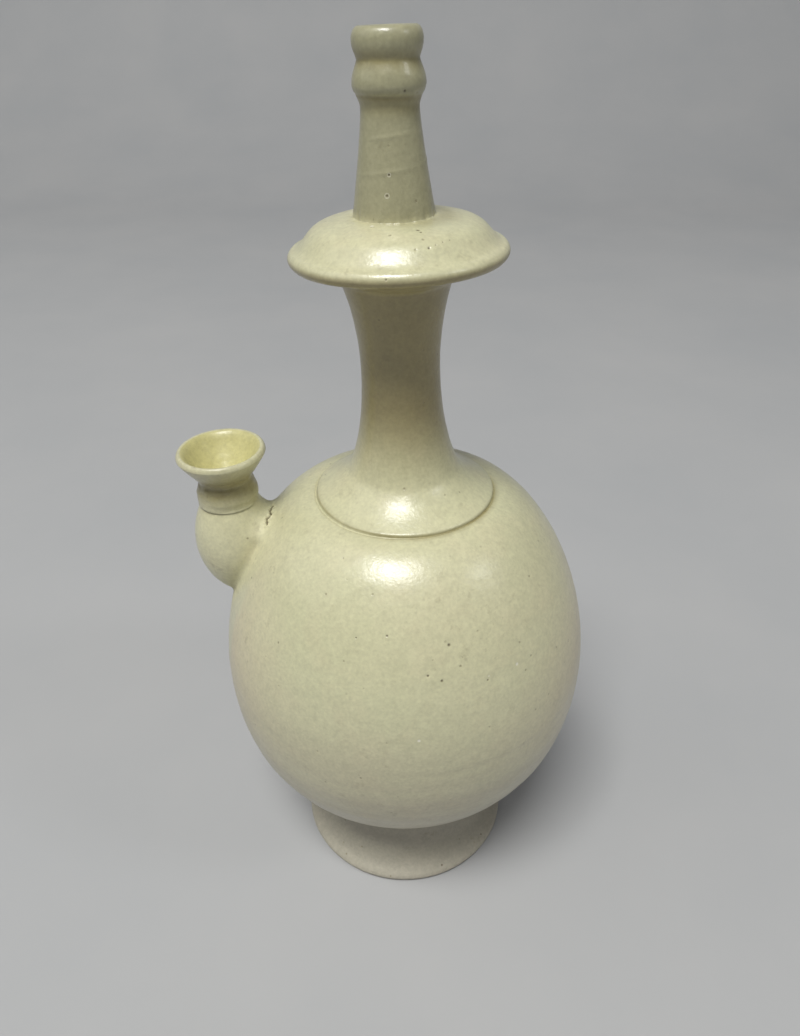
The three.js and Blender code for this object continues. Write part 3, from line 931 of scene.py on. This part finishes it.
def carve_marks(mesh):
    """Cuts the pits, nicks and crack into the glaze, and keeps where they are for its shader."""
    pits, nicks, rings, crack = marks_on(mesh)
    spots = np.vstack([pits, nicks, rings])

    def near_spot(points):
        found = np.zeros(len(points), bool)
        for x, y, z, size in spots:
            found |= np.linalg.norm(points - [x, y, z], axis=1) < 2.6 * size
        return found

    def near_crack(points):
        found = np.zeros(len(points), bool)
        for one, other in zip(crack[:-1, :3], crack[1:, :3]):
            middle, reach = (one + other) / 2, np.linalg.norm(other - one) / 2 + 2.2 * CRACK_WIDTH
            found |= np.linalg.norm(points - middle, axis=1) < reach
        return found

    wide_spots = np.vstack([spots, crack])
    refine(mesh, lambda points: spot_reach(points, wide_spots, 2.2), MARK_EDGE, 2)
    refine(mesh, near_spot, SPOT_EDGE, 3)
    refine(mesh, near_crack, CRACK_EDGE, 2)
    points = mesh_points(mesh)
    normals = np.array([v.normal for v in mesh.vertices])
    pit, nick, split = spot_depths(points, pits), spot_depths(points, nicks), crack_depths(points, crack)
    around = np.exp(-((np.sqrt(-np.log(np.maximum(split, 1e-9))) - 2.2) ** 2))
    lip = 0.25 * around * (split < 0.4)
    down = pit * PIT_DEPTH + nick * NICK_DEPTH + split * CRACK_DEPTH - lip * near_crack(points)
    keep_points(mesh, points - normals * down[:, None])
    add_attribute(mesh, "pit", np.maximum(pit, split))
    add_attribute(mesh, "nick", np.maximum(nick, ring_shares(points, rings)))


def spot_reach(points, spots, reach):
    found = np.zeros(len(points), bool)
    for x, y, z, _ in spots:
        found |= np.linalg.norm(points - [x, y, z], axis=1) < reach
    return found


def build_kundika(axis_x):
    vessel = turned("kundika_glazed", vessel_rows(), AROUND_VESSEL, on_vessel)
    combine(vessel, turned("spout", spout_rows(), AROUND_SPOUT, on_spout_outside), "UNION")
    combine(vessel, turned("hollow", hollow_rows(), AROUND_HOLLOW, on_axis), "DIFFERENCE")
    combine(vessel, turned("spout_hollow", spout_hollow_rows(), AROUND_BORE, on_spout), "DIFFERENCE")
    combine(vessel, wall_hole(), "DIFFERENCE")
    mesh = vessel.data
    refine(mesh, lambda points: near_join(points, 3), JOIN_EDGE, 2)
    soften_join(mesh)
    refine(mesh, lambda points: near_thread(points) | near_line(points), THREAD_EDGE, 3)
    points = mesh_points(mesh)
    normals = np.array([v.normal for v in mesh.vertices])
    keep_points(mesh, points + normals * relief(points)[:, None])
    carve_marks(mesh)
    points = mesh_points(mesh)
    glaze_attributes(mesh, points)
    keep_points(mesh, points + [axis_x, 0, 0])
    mesh.polygons.foreach_set("use_smooth", [True] * len(mesh.polygons))
    return vessel


class Tree:
    """A short way to write a material's nodes."""

    def __init__(self, name):
        self.material = bpy.data.materials.new(name)
        self.material.use_nodes = True
        self.tree = self.material.node_tree
        self.tree.nodes.clear()

    def add(self, kind, inputs=None, **settings):
        node = self.tree.nodes.new(kind)
        for key, value in settings.items():
            setattr(node, key, value)
        for key, value in (inputs or {}).items():
            if isinstance(value, bpy.types.NodeSocket):
                self.tree.links.new(value, node.inputs[key])
            else:
                node.inputs[key].default_value = value
        return node

    def math(self, operation, first, second=0.0, clamp=False):
        node = self.add("ShaderNodeMath", {0: first, 1: second}, operation=operation, use_clamp=clamp)
        return node.outputs[0]

    def mix(self, share, one, other):
        node = self.add("ShaderNodeMix", {0: share, 6: one, 7: other}, data_type="RGBA")
        return node.outputs[2]

    def ramp(self, value, low, high, start=0.0, end=1.0):
        names = {"Value": value, "From Min": low, "From Max": high, "To Min": start, "To Max": end}
        return self.add("ShaderNodeMapRange", names).outputs[0]

    def noise(self, vector, scale, detail=3.0, roughness=0.55):
        inputs = {"Vector": vector, "Scale": scale, "Detail": detail, "Roughness": roughness}
        return self.add("ShaderNodeTexNoise", inputs).outputs[0]

    def attribute(self, name):
        return self.add("ShaderNodeAttribute", attribute_name=name).outputs["Fac"]


def colour(red, green, blue):
    """A colour as the eye reads it, 0 to 255, turned into light."""
    channels = [c / 255 for c in (red, green, blue)]
    return (*[c / 12.92 if c <= 0.04045 else ((c + 0.055) / 1.055) ** 2.4 for c in channels], 1.0)


CREAM = colour(212, 208, 172)
GREENISH = colour(208, 206, 169)
WARM = colour(212, 200, 166)
# Drier glaze low on the body, also standing for painted shade there
DRY_AND_SHADE_BEIGE = colour(167, 156, 139)
# Pooled glaze, also standing for painted shade in hollows and under ledges
POOL_AND_SHADE_OLIVE = colour(134, 121, 66)
# Brown glaze of the neck, also standing for painted shade under the disc
BROWN_OLIVE = colour(142, 127, 80)
BISCUIT = colour(196, 180, 154)
SANDY_GREY = colour(180, 175, 160)
PEACH = colour(218, 198, 164)
BOWL_YELLOW = colour(203, 196, 134)
SPECK = colour(128, 116, 88)
DARK_CLAY = colour(84, 72, 50)
CHIP = colour(226, 222, 204)
# Darker glaze of the tube, also standing for painted shade on it
TUBE_OLIVE = colour(160, 156, 126)


def glaze_material():
    """Cream glaze: greener where thick and where shade is painted into hollows and under ledges, brown
    with painted shade on the neck and under the disc, darker olive with painted shade on the tube, warmer
    in patches, drier, striped and darker with painted shade low on the body.
    """
    t = Tree("cream_glaze")
    place = t.add("ShaderNodeTexCoord").outputs["Object"]
    stretched = t.add("ShaderNodeMapping", {"Vector": place, "Scale": (9, 9, 150)}).outputs[0]
    pool_and_shade, neck = t.attribute("pool_and_shade"), t.attribute("neck")
    low, bare = t.attribute("low"), t.attribute("bare")
    patches = t.noise(place, 22, 4)
    clouds = t.noise(place, 75, 5)
    grain = t.noise(place, 900, 3)
    stripes = t.noise(stretched, 1.0, 4, 0.6)

    base = t.mix(t.ramp(patches, 0.4, 0.62), GREENISH, CREAM)
    base = t.mix(t.ramp(clouds, 0.5, 0.75, 0, 0.28), base, WARM)
    base = t.mix(t.math("MULTIPLY", t.attribute("blush"), 0.5), base, PEACH)
    # Drier glaze low on the body, with painted shade darker towards the bottom
    dry_and_shade = t.math("MULTIPLY", low, t.ramp(stripes, 0.35, 0.62, 0.6, 1))
    base = t.mix(dry_and_shade, base, DRY_AND_SHADE_BEIGE)
    # Brown glaze with painted shade on the neck, and painted shade under the disc and on its rim's lower
    # half
    base = t.mix(t.math("MULTIPLY", neck, 0.85), base, BROWN_OLIVE)
    # Darker olive glaze with painted shade on the mouth tube
    base = t.mix(t.math("MULTIPLY", t.attribute("high"), 0.85), base, TUBE_OLIVE)
    base = t.mix(t.math("MULTIPLY", t.attribute("bowl"), 0.85), base, BOWL_YELLOW)
    # Olive pooled glaze with painted shade in hollows, under the lip, ledge and cup and in the crease of
    # the join
    base = t.mix(t.math("MULTIPLY", pool_and_shade, t.ramp(clouds, 0.3, 0.7, 0.6, 0.95)), base, POOL_AND_SHADE_OLIVE)
    base = t.mix(t.math("MULTIPLY", t.attribute("foot"), 0.8), base, SANDY_GREY)
    fine = t.noise(place, 330, 3, 0.65)
    grain = t.math("ADD", t.math("MULTIPLY", grain, 0.55), t.math("MULTIPLY", fine, 0.45))
    shade = t.ramp(grain, 0.35, 0.65, 0.88, 1.06)
    base = t.add("ShaderNodeVectorMath", {0: base, 3: shade}, operation="SCALE").outputs[0]

    pit, nick = t.attribute("pit"), t.attribute("nick")
    cells = t.add("ShaderNodeTexVoronoi", {"Vector": place, "Scale": 260, "Randomness": 1.0})
    dot = t.ramp(cells.outputs["Distance"], 0.06, 0.13, 1, 0)
    chosen = t.ramp(t.noise(place, 160, 1), 0.55, 0.61)
    specks = t.math("MULTIPLY", dot, chosen)
    base = t.mix(t.math("MULTIPLY", specks, 0.55), base, SPECK)
    smudges = t.ramp(t.noise(place, 210, 3, 0.7), 0.6, 0.74, 0, 0.3)
    base = t.mix(t.math("MULTIPLY", smudges, t.ramp(patches, 0.42, 0.6)), base, SPECK)
    base = t.mix(t.ramp(pit, 0.15, 0.85, 0, 0.85), base, DARK_CLAY)
    base = t.mix(t.ramp(nick, 0.2, 0.6), base, CHIP)
    base = t.mix(bare, base, BISCUIT)

    roughness = t.ramp(clouds, 0.3, 0.75, 0.32, 0.46)
    dull = t.attribute("dull")
    roughness = t.math("ADD", roughness, t.math("MULTIPLY", bare, 0.5), clamp=True)
    roughness = t.math("ADD", roughness, t.math("MULTIPLY", dull, 0.35), clamp=True)
    coat = t.math("SUBTRACT", t.ramp(low, 0.0, 1.0, 0.55, 0.3), bare, clamp=True)
    coat = t.math("MULTIPLY", coat, t.ramp(dull, 0.0, 0.8, 1.0, 0.0))

    coarse_peel = t.math("MULTIPLY", t.noise(place, 420, 2), 0.5)
    fine_peel = t.math("MULTIPLY", t.noise(place, 1000, 2), 0.3)
    skin = t.math("ADD", t.math("ADD", coarse_peel, fine_peel), t.math("MULTIPLY", clouds, 1.2))
    skin = t.math("ADD", skin, t.math("MULTIPLY", t.math("MULTIPLY", stripes, low), 0.8))
    skin = t.math("SUBTRACT", skin, t.math("MULTIPLY", specks, 0.6))
    bump = t.add("ShaderNodeBump", {"Strength": 0.45, "Distance": 0.0004, "Height": skin}).outputs[0]

    shader = t.add(
        "ShaderNodeBsdfPrincipled",
        {
            "Base Color": base,
            "Roughness": roughness,
            "Normal": bump,
            "IOR": 1.5,
            "Coat Weight": coat,
            "Coat Roughness": 0.25,
            "Coat IOR": 1.5,
            "Coat Normal": bump,
        },
    )
    t.add("ShaderNodeOutputMaterial", {"Surface": shader.outputs[0]})
    return t.material


def floor_material():
    t = Tree("pale_floor")
    place = t.add("ShaderNodeTexCoord").outputs["Object"]
    tone = t.ramp(t.noise(place, 6, 4), 0.3, 0.7)
    base = t.mix(tone, colour(176, 177, 179), colour(182, 182, 183))
    shader = t.add("ShaderNodeBsdfPrincipled", {"Base Color": base, "Roughness": 0.75})
    t.add("ShaderNodeOutputMaterial", {"Surface": shader.outputs[0]})
    return t.material


FLOOR_HALF_WIDTH = 4.0
FLOOR_FRONT = -3.0
COVE_START = 1.2
COVE_RADIUS = 0.8
COVE_TOP = 2.6


def add_floor():
    """A floor that turns up softly into a wall far behind the vessel."""
    angles = np.linspace(0, math.pi / 2, 25)
    line = [(FLOOR_FRONT, 0.0)]
    line += [(COVE_START + COVE_RADIUS * math.sin(a), COVE_RADIUS * (1 - math.cos(a))) for a in angles]
    line += [(COVE_START + COVE_RADIUS, COVE_TOP)]
    corners = [(side * FLOOR_HALF_WIDTH, y, z) for y, z in line for side in (-1, 1)]
    faces = [(2 * i, 2 * i + 1, 2 * i + 3, 2 * i + 2) for i in range(len(line) - 1)]
    mesh = bpy.data.meshes.new("floor")
    mesh.from_pydata(corners, [], faces)
    mesh.polygons.foreach_set("use_smooth", [True] * len(faces))
    floor = bpy.data.objects.new("floor", mesh)
    bpy.context.scene.collection.objects.link(floor)
    floor.data.materials.append(floor_material())


def add_light(name, position, target, size, energy, tint):
    data = bpy.data.lights.new(name, "AREA")
    data.shape = "RECTANGLE"
    data.size, data.size_y = size
    data.energy = energy
    data.color = tint
    lamp = bpy.data.objects.new(name, data)
    lamp.location = position
    lamp.rotation_euler = (Vector(position) - Vector(target)).to_track_quat("Z", "Y").to_euler()
    bpy.context.scene.collection.objects.link(lamp)


def add_lights(axis_x):
    middle = Vector((axis_x * MM, 0, 0.16))
    overhead = middle + Vector((-0.145, -0.375, 0.915)).normalized() * 3.0
    add_light("overhead", overhead, middle, (1.25, 0.72), 80.0, (1.0, 1.0, 0.97))
    side = middle + Vector((0.742, -0.277, 0.61)).normalized() * 3.0
    add_light("side", side, middle, (0.5, 0.6), 8.0, (0.96, 0.98, 1.0))
    left = middle + Vector((-0.78, -0.12, 0.61)).normalized() * 3.0
    add_light("left", left, middle, (2.6, 2.6), 13.0, (0.98, 1.0, 1.0))
    world = bpy.data.worlds.new("room")
    world.use_nodes = True
    world.node_tree.nodes["Background"].inputs["Color"].default_value = (0.95, 0.97, 1.0, 1)
    world.node_tree.nodes["Background"].inputs["Strength"].default_value = 0.1
    bpy.context.scene.world = world


def add_camera(axis_x):
    data = bpy.data.cameras.new("camera")
    data.sensor_fit = "VERTICAL"
    data.sensor_height = 36
    data.lens = data.sensor_height * FOCAL_PIXELS / PHOTO_SIZE[1]
    data.shift_x = (PHOTO_SIZE[0] / 2 - AXIS_PIXEL) / PHOTO_SIZE[1]
    data.clip_start = 0.01
    camera = bpy.data.objects.new("camera", data)
    camera.location = (axis_x * MM, -CAMERA_BACK * MM, CAMERA_HEIGHT * MM)
    camera.rotation_euler = (math.radians(90 - CAMERA_PITCH), 0, 0)
    bpy.context.scene.collection.objects.link(camera)
    bpy.context.scene.camera = camera


def as_list(corners):
    return [[round(float(value), 5) for value in corner] for corner in corners]


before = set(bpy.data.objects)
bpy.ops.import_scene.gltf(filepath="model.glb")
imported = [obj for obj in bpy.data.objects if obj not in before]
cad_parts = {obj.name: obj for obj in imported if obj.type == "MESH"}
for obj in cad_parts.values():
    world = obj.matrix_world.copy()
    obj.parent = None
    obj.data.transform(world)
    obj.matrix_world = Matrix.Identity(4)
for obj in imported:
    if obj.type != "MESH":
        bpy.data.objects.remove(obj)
cad_bounds = as_list(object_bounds())
body_axis = cad_bounds[1][0] / MM - BODY_RADIUS
kundika = build_kundika(body_axis)
kundika.data.materials.clear()
kundika.data.materials.append(glaze_material())
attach(kundika, "root")
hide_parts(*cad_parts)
add_floor()
add_lights(body_axis)
add_camera(body_axis)
bpy.context.scene.view_settings.view_transform = "Standard"
